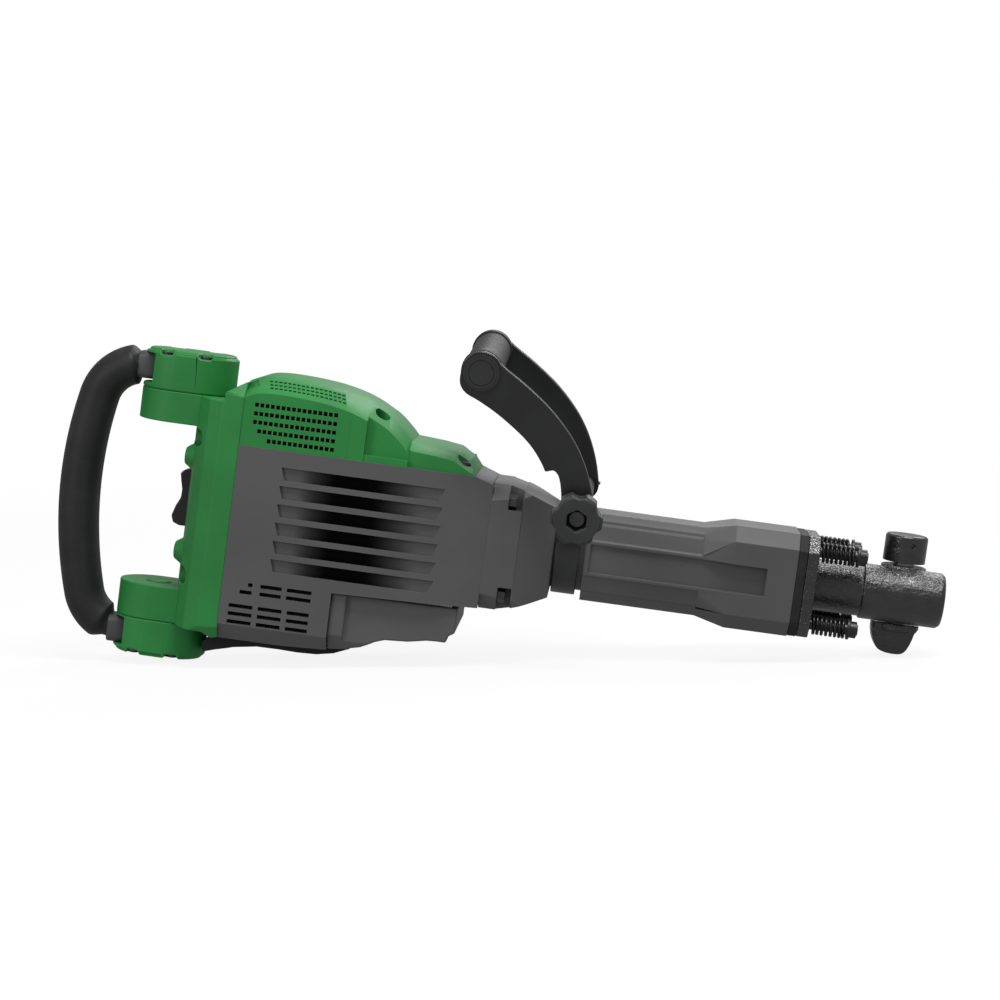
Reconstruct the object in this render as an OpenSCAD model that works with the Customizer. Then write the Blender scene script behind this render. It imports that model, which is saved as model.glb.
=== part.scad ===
// Electric demolition hammer with a hex tool socket, D-shaped rear handle and swinging side handle.
// +X is the way the tool leaves the nose, +Z is up with the rear handle upright.
// The origin is the centre of the socket mouth.

/* [Tool socket and nose] */
// Hex shank size across its flats
hex_af = 30; // [28:0.5:32]
// Outer radius of the nose
nose_r = 21.5; // [21:0.5:24]
// Front face of the barrel flange, measured back from the mouth
flange_back = 101; // [98:1:104]
// Radius of the tool retainer shaft
lock_r = 8; // [7:0.5:9]
// How far the nose can float forward against its springs
nose_float = 3; // [1:0.5:4]

/* [Percussion unit] */
// Bore radius of the cylinder
bore_r = 24; // [22:0.5:25]
// Throw of the crank
crank_throw = 20; // [16:1:22]
// Distance between the two eyes of the connecting rod
rod_length = 75; // [72:1:80]
// Radius of the crank pin
crank_pin_r = 9; // [7:0.5:10]

/* [Gear train] */
// Teeth on the motor pinion
pinion_teeth = 12; // [12:1:12]
// Teeth on the idler gear
idler_teeth = 44; // [44:1:44]
// Teeth on the crank gear
crank_teeth = 41; // [41:1:41]
// Module of the first gear pair
fast_module = 1.5; // [1.5:0.1:1.5]
// Module of the second gear pair
slow_module = 2; // [2:0.1:2]

/* [Casings] */
// Half width of the motor housing
body_half = 58; // [56:1:60]
// Half width of the crankcase
case_half = 50; // [48:1:51]
// Half width of the narrow part of the barrel
barrel_half = 34; // [33:0.5:36]
// Half width of the front block of the barrel
block_half = 38.6; // [37:0.5:40]
// Radius of the handle lugs on the tail cover
lug_r = 30; // [28:1:31]

/* [Rear handle] */
// Radius of the rubber grip
grip_r = 15.5; // [14:0.5:16]
// Radius of the long bow of the handle
bow_r = 320; // [300:10:340]

/* [Side handle] */
// Roll of the side handle about the barrel as it is clamped
ring_tilt = 6; // [0:1:20]
// Height of the clamp bolt above the barrel axis
bolt_z = 42; // [41:0.5:44]
// Radius of the clamp bolt
bolt_r = 6; // [5:0.5:7]
// Half distance between the arms
arm_gap = 57.5; // [56:0.5:60]
// Radius of the side grip
side_grip_r = 14.6; // [13:0.2:15]

/* [Hidden] */
$fn = 64;

// Small gaps and overlaps
gap = 0.05;

// Colours
green = [0.17, 0.49, 0.24];
grey = [0.32, 0.32, 0.33];
black = [0.1, 0.1, 0.1];
steel = [0.6, 0.6, 0.62];
copper = [0.72, 0.4, 0.2];

// Stations along the tool axis
seat_x = -flange_back - 9;      // back of the front cover flange
gasket_x = seat_x - 7;          // back of the gasket, front face of the barrel
neck_x = -278.5;                 // front end of the clamp neck
case_x = -303;                  // front face of the crankcase
case_seam_x = -354.5;           // seam between crankcase and motor housing
cap_front_x = -565.5;           // front edge of the lugs of the handle caps
wall_x = -466;                  // wall between motor and crank chambers
tail_seam_x = -550;             // seam between motor housing and tail cover
tail_x = -591;                  // rearmost plane of the tail cover
lug_x = -608;                   // centre of the round end of the lugs
retainer_x = -31.5;             // axis of the tool retainer
retainer_y = 17;

// Heights
cover_z = 52.5;                 // underside of the top cover
tray_z = -50.4;                 // top edge of the bottom cover
floor_z = -98;                  // underside of the motor housing
lug_top_z = 84.2;
lug_low_z = -94.6;

// Gear train: the three axes stand in one plane along X
fast_pinion_r = pinion_teeth * fast_module / 2;
idler_r = idler_teeth * fast_module / 2;
slow_pinion_r = pinion_teeth * slow_module / 2;
crank_gear_r = crank_teeth * slow_module / 2;
crank_x = -424;
idler_x = crank_x - crank_gear_r - slow_pinion_r;
motor_x = idler_x - idler_r - fast_pinion_r;
rod_angle = asin(crank_throw / rod_length);
wrist_x = crank_x + rod_length * cos(rod_angle);

// Percussion unit
liner_r = bore_r + 3;
neck_r = 29.5;
nose_bolt_y = 27;
nose_bolt_z = 28;

// Side handle, measured before it is rolled by ring_tilt
clamp_x = -288;
side_grip_x = -373;
side_grip_z = 140;
arm_t = 7;

// ---------------------------------------------------------------- shared shapes

// Outline in X and Z, made solid across Y
module xz_prism(points, half) {
    rotate([90, 0, 0])
        linear_extrude(2 * half, center = true)
            polygon(points);
}

// Outline in X and Y, made solid from z0 to z1
module xy_prism(points, z0, z1) {
    translate([0, 0, z0])
        linear_extrude(z1 - z0)
            polygon(points);
}

// Any outline in Y and Z, made solid from x0 to x1
module along_x(x0, x1) {
    translate([x0, 0, 0])
        rotate([90, 0, 90])
            linear_extrude(x1 - x0)
                children();
}

// Round bar along X
module bar_x(r, x0, x1, y = 0, z = 0) {
    translate([x0, y, z])
        rotate([0, 90, 0])
            cylinder(r = r, h = x1 - x0);
}

// Round bar along Y
module bar_y(r, y0, y1, x, z) {
    translate([x, y1, z])
        rotate([90, 0, 0])
            cylinder(r = r, h = y1 - y0);
}

// Round bar along Z
module bar_z(r, z0, z1, x, y = 0) {
    translate([x, y, z0])
        cylinder(r = r, h = z1 - z0);
}

// Block between two corners
module block(low, high) {
    translate(low)
        cube(high - low);
}

// Block on both sides of the middle plane, from y0 to y1 off it
module side_pair(x0, x1, y0, y1, z0, z1) {
    for (s = [-1, 1])
        translate([x0, s > 0 ? y0 : -y1, z0])
            cube([x1 - x0, y1 - y0, z1 - z0]);
}

// Ring about the Z axis
module ring_z(r_out, r_in, z0, z1, x, y = 0) {
    difference() {
        bar_z(r_out, z0, z1, x, y);
        bar_z(r_in, z0 - 1, z1 + 1, x, y);
    }
}

// Rectangle with chamfered corners, centred
module chamfered(half_y, half_z, c) {
    polygon([
        [-half_y, -half_z + c], [-half_y + c, -half_z], [half_y - c, -half_z], [half_y, -half_z + c],
        [half_y, half_z - c], [half_y - c, half_z], [-half_y + c, half_z], [-half_y, half_z - c]
    ]);
}

// Plan of a handle lug, round at the rear, from its end circle to the x given
module lug_plan(r, x_end) {
    translate([lug_x, 0])
        circle(r = r);
    translate([lug_x, -r])
        square([x_end - lug_x, 2 * r]);
}

// Plan of a handle cap, round at both ends
module cap_plan(r) {
    lug_plan(r, cap_front_x - lug_r);
    translate([cap_front_x - lug_r, 0])
        circle(r = r);
}

// Involute of a circle, as a point at a roll angle in degrees
function involute(rb, roll) = [
    rb * (cos(roll) + roll * PI / 180 * sin(roll)),
    rb * (sin(roll) - roll * PI / 180 * cos(roll))
];
function roll_at(rb, r) = sqrt(max(0, pow(r / rb, 2) - 1)) * 180 / PI;
function polar(r, a) = [r * cos(a), r * sin(a)];
function angle_of(p) = atan2(p[1], p[0]);

// Spur gear outline with one tooth centred on +X before it is turned
module gear_outline(teeth, m, turn = 0, pressure = 25, backlash = 0.16) {
    rp = teeth * m / 2;
    rb = rp * cos(pressure);
    ra = rp + 0.8 * m;
    rf = rp - 1.05 * m;
    half_tooth = 90 / teeth - backlash / 2 / rp * 180 / PI;
    pitch_turn = angle_of(involute(rb, roll_at(rb, rp)));
    start = max(rb, rf);
    radii = [for (i = [0:3]) start + (ra - start) * i / 3];
    flank = [for (r = radii) let (p = involute(rb, roll_at(rb, r))) half_tooth + pitch_turn - angle_of(p)];
    rotate([0, 0, turn])
        polygon([
            for (t = [0:teeth - 1]) let (mid = t * 360 / teeth)
                each concat(
                    [polar(rf, mid - flank[0])],
                    [for (i = [0:3]) polar(radii[i], mid - flank[i])],
                    [for (i = [3:-1:0]) polar(radii[i], mid + flank[i])],
                    [polar(rf, mid + flank[0])]
                )
        ]);
}

// ---------------------------------------------------------------- barrel and nose

module barrel_section(half) {
    y1 = half;
    y2 = half - 4;
    y3 = half - 11;
    corner = [
        [y1, 0], [y1, 13.4], [y1 - 1.6, 14.6], [y2 - 0.6, 25.5], [y2 - 2.6, 26.8],
        [y2 - 3.2, 29.4], [y3 - 0.4, half - 0.6], [y3 - 2.6, half + 0.5]
    ];
    half_outline = concat(corner, [for (i = [len(corner) - 1:-1:1]) [-corner[i][0], corner[i][1]]]);
    polygon(concat(half_outline, [for (i = [len(half_outline) - 1:-1:0]) [half_outline[i][0], -half_outline[i][1]]]));
}

module front_section(shrink = 0) {
    chamfered(block_half - shrink, block_half + 1.2 - shrink, 11.5);
}

module barrel() {
    slope_back = -189;
    slope_front = -166;
    color(grey)
        difference() {
            union() {
                bar_x(neck_r, case_x, neck_x);
                along_x(neck_x, slope_back)
                    barrel_section(barrel_half);
                hull() {
                    along_x(slope_back - 0.5, slope_back)
                        barrel_section(barrel_half);
                    along_x(slope_front, slope_front + 0.5)
                        front_section();
                }
                along_x(slope_front, gasket_x)
                    front_section();
            }
            bar_x(liner_r + gap, case_x - 1, gasket_x + 1);
            // Recessed panel on each side
            side_pair(-275, -139, barrel_half - 2, barrel_half + 9, -10.8, 10.8);
            // Threaded holes of the four nose bolts
            for (y = [-1, 1], z = [-1, 1])
                bar_x(4.3, gasket_x - 16, gasket_x + 1, y * nose_bolt_y, z * nose_bolt_z);
        }
}

module front_gasket() {
    color(black)
        difference() {
            along_x(gasket_x, seat_x)
                front_section(0.6);
            bar_x(liner_r + gap, gasket_x - 1, seat_x + 1);
            for (y = [-1, 1], z = [-1, 1])
                bar_x(4.6, gasket_x - 1, seat_x + 1, y * nose_bolt_y, z * nose_bolt_z);
        }
}

module hex_bore(x0, x1) {
    along_x(x0, x1)
        circle(r = hex_af / 2 / cos(30), $fn = 6);
}

module front_cover() {
    color(black)
        difference() {
            union() {
                bar_x(liner_r - 0.05, seat_x - 38, seat_x);
                along_x(seat_x, -flange_back)
                    front_section(0.8);
                bar_x(nose_r - 1.5, -flange_back - 1, -60);
                bar_x(nose_r, -63, -3);
                // Rounded mouth
                translate([-3, 0, 0])
                    rotate([0, 90, 0])
                        cylinder(r1 = nose_r, r2 = nose_r - 2, h = 3);
                // Boss of the retainer shaft
                bar_z(lock_r + 5, -20, 20, retainer_x, retainer_y);
                bar_z(17.5, 19, 22.5, retainer_x, retainer_y - 4);
            }
            // The flats of the shank face the sides
            rotate([90, 0, 0])
                hex_bore(seat_x - 39, 1);
            bar_z(lock_r + gap, -24, 24, retainer_x, retainer_y);
            for (y = [-1, 1], z = [-1, 1])
                bar_x(4.3, seat_x - 1, -flange_back + 1, y * nose_bolt_y, z * nose_bolt_z);
        }
}

module nose_bolts() {
    color(steel)
        for (y = [-1, 1], z = [-1, 1])
            bar_x(4.25, gasket_x - 15, -64, y * nose_bolt_y, z * nose_bolt_z);
}

module nose_nuts() {
    color(black)
        for (y = [-1, 1], z = [-1, 1])
            difference() {
                union() {
                    bar_x(8, -72.4, -70.4, y * nose_bolt_y, z * nose_bolt_z);
                    bar_x(6.4, -70.4, -65, y * nose_bolt_y, z * nose_bolt_z);
                }
                bar_x(4.28, -74, -63, y * nose_bolt_y, z * nose_bolt_z);
            }
}

// One coil spring along X, swept as rings of a round wire
spring_turns = 8;
spring_mid_r = 6.5;
spring_wire_r = 1.35;
module coil_spring(x0, x1) {
    sides = 6;
    steps = spring_turns * 12;
    first = x0 + spring_wire_r + 0.1;
    rise = x1 - x0 - 2 * spring_wire_r - 0.2;
    points = [
        for (i = [0:steps]) let (turn = 360 * spring_turns * i / steps)
            for (k = [0:sides - 1]) let (w = 360 * k / sides, r = spring_mid_r + spring_wire_r * cos(w))
                [first + rise * i / steps + spring_wire_r * sin(w), r * cos(turn), r * sin(turn)]
    ];
    walls = [
        for (i = [0:steps - 1])
            for (k = [0:sides - 1]) let (n = (k + 1) % sides)
                [i * sides + k, i * sides + n, (i + 1) * sides + n, (i + 1) * sides + k]
    ];
    caps = [
        [for (k = [sides - 1:-1:0]) k],
        [for (k = [0:sides - 1]) steps * sides + k]
    ];
    polyhedron(points, concat(walls, caps), convexity = 10);
}

module nose_springs() {
    color(black)
        for (y = [-1, 1], z = [-1, 1])
            translate([0, y * nose_bolt_y, z * nose_bolt_z])
                coil_spring(-flange_back, -72.4);
}

// ---------------------------------------------------------------- tool retainer

module retainer_shaft() {
    color(steel)
        difference() {
            bar_z(lock_r, -27, 34, retainer_x, retainer_y);
            // Cut-away that lets the shank pass while the retainer is open
            block([retainer_x - 12, retainer_y - 12, -17.7], [retainer_x + 12, hex_af / 2 + 0.15, 17.7]);
        }
}

module retainer_knob() {
    color(black)
        difference() {
            union() {
                bar_z(16.5, 25, 45, retainer_x, retainer_y);
                translate([retainer_x, retainer_y, 45])
                    cylinder(r1 = 16.5, r2 = 15, h = 1.5);
            }
            bar_z(lock_r, 24, 34, retainer_x, retainer_y);
            // Cross hole of the roll pin
            bar_y(1.6, retainer_y - 17, retainer_y - 12, retainer_x + 4, 39);
        }
}

module retainer_lever() {
    flange = 19;
    color(black)
        difference() {
            union() {
                intersection() {
                    translate([0, retainer_y, 0])
                        xz_prism(concat([[retainer_x - 18.6, -23]], flowing([
                            [retainer_x - 18.6, -27], [retainer_x - 17, -35], [retainer_x - 12.6, -43.4],
                            [retainer_x - 6, -46.5], [retainer_x + 4, -47], [retainer_x + 9.6, -44.6],
                            [retainer_x + 13.4, -37], [retainer_x + 15.6, -28.5]
                        ], 3), [[retainer_x + 18.6, -27], [retainer_x + 18.6, -23]]), 10);
                    bar_z(flange, -48, -23, retainer_x, retainer_y);
                }
                bar_z(15, -29, -23, retainer_x, retainer_y);
            }
            bar_z(lock_r, -27, -20, retainer_x, retainer_y);
        }
}

// ---------------------------------------------------------------- percussion unit

module cylinder_liner() {
    color(steel)
        difference() {
            bar_x(liner_r, -372, -224);
            bar_x(bore_r, -400, -200);
            // Idle breathing ports
            for (a = [45, 135, 225, 315])
                rotate([a, 0, 0])
                    bar_z(2, 10, 40, -314);
        }
}

module piston() {
    color(steel)
        difference() {
            bar_x(bore_r - gap, wrist_x - 18, wrist_x + 26);
            // Slot for the small eye of the connecting rod
            block([wrist_x - 20, -16, -8.4], [wrist_x + 14, 16, 8.4]);
            bar_z(6, -30, 30, wrist_x);
            // Groove of the ring
            difference() {
                bar_x(bore_r + 1, wrist_x + 18, wrist_x + 22);
                bar_x(bore_r - 3, wrist_x + 17, wrist_x + 23);
            }
        }
}

module piston_ring() {
    color(black)
        difference() {
            bar_x(bore_r - gap, wrist_x + 18.2, wrist_x + 21.8);
            bar_x(bore_r - 2.9, wrist_x + 17, wrist_x + 23);
        }
}

module wrist_pin() {
    color(steel)
        bar_z(5.95, -22, 22, wrist_x);
}

module connecting_rod() {
    big_r = crank_pin_r + 7;
    small_r = 10.6;
    half = 7.5;
    color(steel)
        translate([crank_x, -crank_throw, 0])
            rotate([0, 0, rod_angle])
                difference() {
                    union() {
                        bar_z(big_r, -half, half, 0);
                        bar_z(small_r, -half, half, rod_length);
                        block([0, -6, -half], [rod_length, 6, half]);
                    }
                    bar_z(crank_pin_r + gap, -half - 1, half + 1, 0);
                    // Open pivot: wide enough for the rod's sideways swing
                    bar_z(5.95 + 1.25, -half - 1, half + 1, rod_length);
                    // Lightening pockets
                    for (s = [-1, 1])
                        block([big_r + 3, -3, s > 0 ? 4 : -half - 1], [rod_length - small_r - 3, 3, s > 0 ? half + 1 : -4]);
                }
}

module striker() {
    color(steel)
        difference() {
            union() {
                bar_x(bore_r - gap, -290, -247);
                bar_x(14, -248, -232);
            }
            difference() {
                bar_x(bore_r + 1, -272, -266);
                bar_x(bore_r - 3.5, -273, -265);
            }
        }
}

module striker_ring() {
    color(black)
        difference() {
            bar_x(bore_r - gap, -271.8, -266.2);
            bar_x(bore_r - 3.4, -273, -265);
        }
}

module impact_bolt() {
    color(steel)
        union() {
            bar_x(13, -222, -199);
            bar_x(20, -200, -180);
            bar_x(14, -181, -152);
        }
}

module bolt_guide() {
    color(steel)
        difference() {
            bar_x(liner_r, -222, -158);
            bar_x(20 + gap, -223, -166);
            bar_x(14 + gap, -167, -157);
        }
}

module damper_ring() {
    color(black)
        difference() {
            bar_x(liner_r, -157.8, -149.2);
            bar_x(18, -159, -147);
        }
}

// ---------------------------------------------------------------- casings

// Plan outline of the motor housing and crankcase, half widths by station
case_plan = [
    [tail_seam_x, body_half], [-398, body_half], [-370, case_half + 4], [case_seam_x, case_half + 2]
];
function mirrored(points) = concat(points, [for (i = [len(points) - 1:-1:0]) [points[i][0], -points[i][1]]]);

module crankcase() {
    front_plan = [
        [case_seam_x, case_half + 2], [-342, case_half], [-330, case_half - 2], [-318, 42], [case_x, 34.5]
    ];
    front_side = [
        [case_seam_x, 48.5], [-342, 48.5], [-330, 45.5], [-318, 41], [case_x, 34.5]
    ];
    box_back = wall_x + 1;
    color(grey)
        difference() {
            union() {
                intersection() {
                    xy_prism(mirrored(front_plan), -60, 60);
                    xz_prism(mirrored(front_side), 60);
                    along_x(case_seam_x, case_x)
                        chamfered(case_half + 3, 49, 14);
                }
                // Inner casting round the crank
                block([box_back, -48, -46], [case_seam_x + 1, 48, 46]);
            }
            // Crank chamber
            block([box_back + 4, -44, -26], [-374, 44, 42]);
            bar_x(liner_r + gap, -373, case_x + 1);
            bar_x(bore_r, -380, -372);
            // Upper crank bearing and shaft passage
            bar_z(17, -47, -32, crank_x);
            bar_z(14, -33, -25, crank_x);
            // Bolt pockets at the four corners
            for (y = [-1, 1], z = [-1, 1])
                translate([-341, y > 0 ? 36 : -60, z > 0 ? 30 : -60])
                    cube([10.5, 24, 30]);
            // Bolt shanks
            for (y = [-1, 1], z = [-1, 1])
                bar_x(3.55, case_seam_x - 1, -340, y * 42, z * 36);
        }
}

module crankcase_bolts() {
    color(steel)
        for (y = [-1, 1], z = [-1, 1]) {
            bar_x(3.5, case_seam_x, -341, y * 42, z * 36);
            translate([-341, y * 42, z * 36])
                rotate([0, 90, 0])
                    cylinder(r = 6, h = 6, $fn = 6);
        }
}

// Six curved louvres in each side of the motor housing
louvre_pitch = 14.15;
module louvres() {
    left = -515.5;
    right = -390;
    mid = (left + right) / 2;
    arc_r = 225;
    depth = 7.6;
    for (s = [-1, 1])
        intersection() {
            union()
                for (i = [0:5]) {
                    top = 40 - i * louvre_pitch;
                    translate([0, s * (body_half - 6), 0])
                        xz_prism([[left, top], [right, top], [right - 4, top - 9.9], [left + 3, top - 9.9]], 20);
                }
            // The louvres are deepest in the middle and still have a clean edge at their ends
            union() {
                translate([mid, s * (body_half - depth + arc_r), -60])
                    cylinder(r = arc_r, h = 120, $fn = 200);
                side_pair(left - 2, right + 2, body_half - 2.4, 72, -60, 60);
            }
        }
}

// Cooling slots low in the motor housing: each row is a height and its slots' ends
cooling_slots = [
    [-52.8, [[-530, -526.5], [-520.5, -504], [-500, -481]]],
    [-58.8, [[-536, -526.5], [-520.5, -504], [-500, -481]]],
    [-70, [[-543, -524.5], [-520.5, -502], [-498, -481]]],
    [-76.2, [[-543, -524.5], [-520.5, -502], [-498, -481]]],
    [-82.4, [[-543, -524.5], [-520.5, -502], [-498, -481]]]
];

module motor_housing() {
    outline = [
        [tail_seam_x, floor_z], [-500, floor_z], [wall_x, floor_z + 2], [wall_x, tray_z],
        [case_seam_x, -47.5], [case_seam_x, 47.5], [-369, cover_z], [tail_seam_x, cover_z]
    ];
    color(grey)
        difference() {
            union() {
                difference() {
                    intersection() {
                        xz_prism(outline, 70);
                        xy_prism(mirrored(case_plan), -120, 120);
                        along_x(tail_seam_x, case_seam_x)
                            chamfered(body_half, -floor_z, 13);
                    }
                    // Motor chamber, open to the rear and to the top
                    intersection() {
                        block([tail_seam_x - 1, -53, -94], [wall_x - 4, 53, cover_z + 1]);
                        along_x(tail_seam_x - 2, wall_x)
                            chamfered(53, 94, 10.5);
                    }
                    // Crank chamber, open to the front, to the top and below
                    block([wall_x, -48.3, tray_z - 1], [case_seam_x + 1, 48.3, cover_z + 1]);
                    // Way through for the gears
                    block([wall_x - 5, -46.2, -94], [wall_x + 1, 46.2, -47]);
                }
                // Cradle of the stator
                difference() {
                    side_pair(-546, -492, 30, 54, -12, 34);
                    bar_z(42, -20, 40, motor_x);
                }
                // Wall behind the louvres
                difference() {
                    side_pair(-522, wall_x - 3, 48.3, 54, -47, 42);
                    bar_z(42, -50, 50, motor_x);
                }
                // Seat of the lower idler bearing
                bar_z(11, -95, -88, idler_x);
            }
            louvres();
            bar_z(9.5, -93, -87, idler_x);
            for (row = cooling_slots, slot = row[1])
                side_pair(slot[0], slot[1], 50, 62, row[0] - 1.5, row[0] + 1.5);
        }
}

module gear_plate() {
    color(steel)
        difference() {
            block([-545, -46, -58], [-374, 46, -48.5]);
            bar_z(13, -59, -47, motor_x);
            bar_z(11, -59, -47, idler_x);
            bar_z(15, -59, -47, crank_x);
        }
}

module bottom_cover() {
    outline = [
        [wall_x, floor_z + 2], [-452, -94], [-440, -90.5], [-429, -84.5], [-422, -82], [-404, -80.8],
        [-390, -78], [-383, -77.6], [-375, -77.6], [-374, -72.5], [-369, -69.5], [-369, tray_z], [wall_x, tray_z]
    ];
    inside = [
        [wall_x - 1, -91.5], [-453, -90.2], [-441, -87], [-429, -80.8], [-422, -78.3], [-404, -77.2],
        [-390, -74.6], [-379, -73.6], [-373, -68], [-373, tray_z + 1], [wall_x - 1, tray_z + 1]
    ];
    color(grey)
        difference() {
            intersection() {
                union() {
                    xz_prism(outline, 51);
                    // Raised pad along each side
                    xz_prism([[wall_x, -95.5], [-454, -93.5], [-454, tray_z], [wall_x, tray_z]], 55);
                }
                along_x(wall_x, -369)
                    chamfered(55, 95.5, 12);
            }
            xz_prism(inside, 46.3);
        }
}

// Smooth line through the points, with so many steps between neighbours
function flowing(p, steps) = let (last = len(p) - 1) [
    for (i = [0:last - 1], k = [0:steps - 1])
        let (a = p[max(0, i - 1)], b = p[i], c = p[i + 1], d = p[min(last, i + 2)], u = k / steps)
            0.5 * (2 * b + (c - a) * u + (2 * a - 5 * b + 4 * c - d) * pow(u, 2) + (3 * b - a - 3 * c + d) * pow(u, 3)),
    p[last]
];

// Ridge of the top cover
hump = flowing([
    [tail_seam_x, 101], [-541, 105], [-526, 106.4], [-503, 105.6], [-481, 103], [-461, 97.8],
    [-442, 89], [-430, 80], [-421, 71]
], 4);
tab = [[-421, 71], [-400, 69.5], [-386, 67.5], [-375, 61.5], [-369.2, 54]];
function lowered(points, d) = [for (p = points) [p[0], max(cover_z, p[1] - d)]];
function footed(points) = concat(points, [[points[len(points) - 1][0], cover_z], [points[0][0], cover_z]]);

module top_cover() {
    color(green)
        difference() {
            union() {
                hull() {
                    xz_prism(footed(lowered(hump, 12)), body_half - 1);
                    xz_prism(footed(hump), 36);
                }
                hull() {
                    xz_prism(footed(lowered(tab, 6)), case_half + 3);
                    xz_prism(footed(tab), 40);
                }
                // Upright boss on each side
                side_pair(-467, -455, 50, body_half - 0.2, cover_z, 84);
            }
            // Hollow under the hump and under the tab
            difference() {
                xz_prism([
                    [tail_seam_x - 1, 88], [-541, 92], [-500, 91], [-480, 88.5], [-455, 80], [-434, 66],
                    [-425, 60], [-377, 58], [-377, cover_z - 1], [tail_seam_x - 1, cover_z - 1]
                ], 50);
                bar_z(15, 80, 100, motor_x);
                block([-426, -60, cover_z - 1], [-370, -44, 70]);
                block([-426, 44, cover_z - 1], [-370, 60, 70]);
            }
            // Seat of the upper armature bearing
            bar_z(11, 79, 90, motor_x);
            // The flank in front of the boss is set back
            side_pair(-455, -420, 51.5, 62, 57.5, 110);
            // Rows of small air holes in the sides
            for (row = [0:4])
                for (i = [(row == 4 ? 3 : row == 3 ? 1 : 0):15])
                    side_pair(-541.5 + i * 4.05, -538.5 + i * 4.05, 45, 62, 83 - row * 6.6, 86.2 - row * 6.6);
            // Rows of fine air holes in the slopes
            for (row = [0:2], i = [0:16], s = [-1, 1])
                translate([-533 + i * 3.5 + row, s * (41 + row * 4.2), 101 - row * 2.2 - i * 0.12])
                    rotate([-s * 30, 0, 0])
                        cube([2.4, 2, 16], center = true);
            // Recesses of the cover screws
            for (s = [-1, 1]) {
                translate([-446, s * 39, 88])
                    rotate([s * -12, 28, 0])
                        translate([0, 0, -9])
                            cylinder(r = 6.4, h = 36);
                bar_z(5.4, 58, 75, -379, s * 43);
            }
            // Recess at the rear corners
            for (s = [-1, 1])
                translate([tail_seam_x, s * 44, 98])
                    rotate([0, -30, 0])
                        bar_x(5, -3, 8);
        }
}

module cover_screws() {
    color(steel)
        for (s = [-1, 1]) {
            translate([-446, s * 39, 88])
                rotate([s * -12, 28, 0])
                    translate([0, 0, -9])
                        difference() {
                            cylinder(r = 4.8, h = 3.5);
                            translate([0, 0, 1.5])
                                cylinder(r = 2.3, h = 3, $fn = 6);
                        }
            difference() {
                bar_z(4.6, 58, 61.5, -379, s * 43);
                translate([-379, s * 43, 59.5])
                    cylinder(r = 2.1, h = 3, $fn = 6);
            }
        }
}

tail_plan = [
    [tail_seam_x, body_half], [-566, body_half - 1.5], [-577, body_half - 8], [-585, 38], [-589, 24], [tail_x, 12]
];

module tail_cover() {
    outline = [
        [tail_seam_x, -97.5], [-556, -99], [-563, lug_low_z], [tail_x, lug_low_z], [tail_x, lug_top_z],
        [-565, lug_top_z], [-565, 91], [tail_seam_x, 100.5]
    ];
    color(green)
        difference() {
            union() {
                intersection() {
                    xz_prism(outline, 70);
                    xy_prism(mirrored(tail_plan), -120, 120);
                    along_x(tail_x, tail_seam_x)
                        chamfered(body_half, 101, 12);
                }
                translate([0, 0, 60])
                    linear_extrude(lug_top_z - 60)
                        lug_plan(lug_r, -570);
                translate([0, 0, lug_low_z])
                    linear_extrude(-67.5 - lug_low_z)
                        lug_plan(lug_r, -570);
                // Screw bosses beside the switch
                for (z = [36, -38])
                    for (s = [-1, 1])
                        translate([-595, s * 22, z])
                            rotate([0, 90, 0])
                                cylinder(r1 = 6.4, r2 = 12.4, h = 9);
            }
            // Hollow inside
            difference() {
                xy_prism(mirrored([[tail_seam_x + 1, 53], [-562, 51], [-571, 42], [-576, 34], [-576, 19], [-586, 18.5], [-586, 12]]), -90, 80);
                // Posts of the rear screws
                for (z = [36, -38])
                    for (s = [-1, 1])
                        bar_x(5, -590, -572, s * 19, z);
            }
            // Opening of the switch
            block([-600, -14, -24], [-580, 14, 28]);
            // Screw recesses, which break out of the rounded rear corners
            for (z = [52, -55], s = [-1, 1]) {
                bar_x(6.6, -600, -579.5, s * 28, z);
                bar_x(6.6, -600, -579.5, s * 38, z);
                side_pair(-600, -579.5, 28, 38, z - 6.6, z + 6.6);
            }
            for (z = [36, -38], s = [-1, 1])
                bar_x(3.4, -600, -590.5, s * 22, z);
            // Hole of the round plug in the lower lug
            bar_z(10, -69.5, -66, lug_x);
            // Hollow of the lugs
            bar_z(22, 66, 81, lug_x);
            bar_z(22, -91, -73, lug_x);
        }
}

module lug_plug() {
    color(green)
        difference() {
            bar_z(9.7, -69.5, -66.9, lug_x);
            ring_z(8.6, 7.9, -67.4, -66, lug_x);
        }
}

// Outer stadium block of a handle cap with its rim bevelled
module cap_block(low, high, bevel_up) {
    inset = 2.5;
    translate([0, 0, low])
        linear_extrude(high - low)
            cap_plan(lug_r - inset);
    translate([0, 0, bevel_up ? low : low + inset])
        linear_extrude(high - low - inset)
            cap_plan(lug_r);
}

cap_screw_x = [-618, -588];
module upper_handle_cap() {
    color(green)
        difference() {
            cap_block(lug_top_z, 115.5, true);
            // Hollow for the damper
            block([-622, -22, lug_top_z - 1], [-579, 22, 111]);
            // Notch and way in for the handle
            block([-650, -35, 88.2], [-628, 35, upper_z + neck_in_r + 0.6]);
            block([-650, -13.6, 88.2], [-621, 13.6, upper_z + neck_in_r + 0.6]);
            // Screw recesses, open through the rim
            for (x = cap_screw_x, s = [-1, 1])
                bar_z(5, 111.5, 120, x, s * 22);
            for (x = cap_screw_x)
                side_pair(x - 5, x + 5, 22, 34, 111.5, 120);
        }
}

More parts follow.
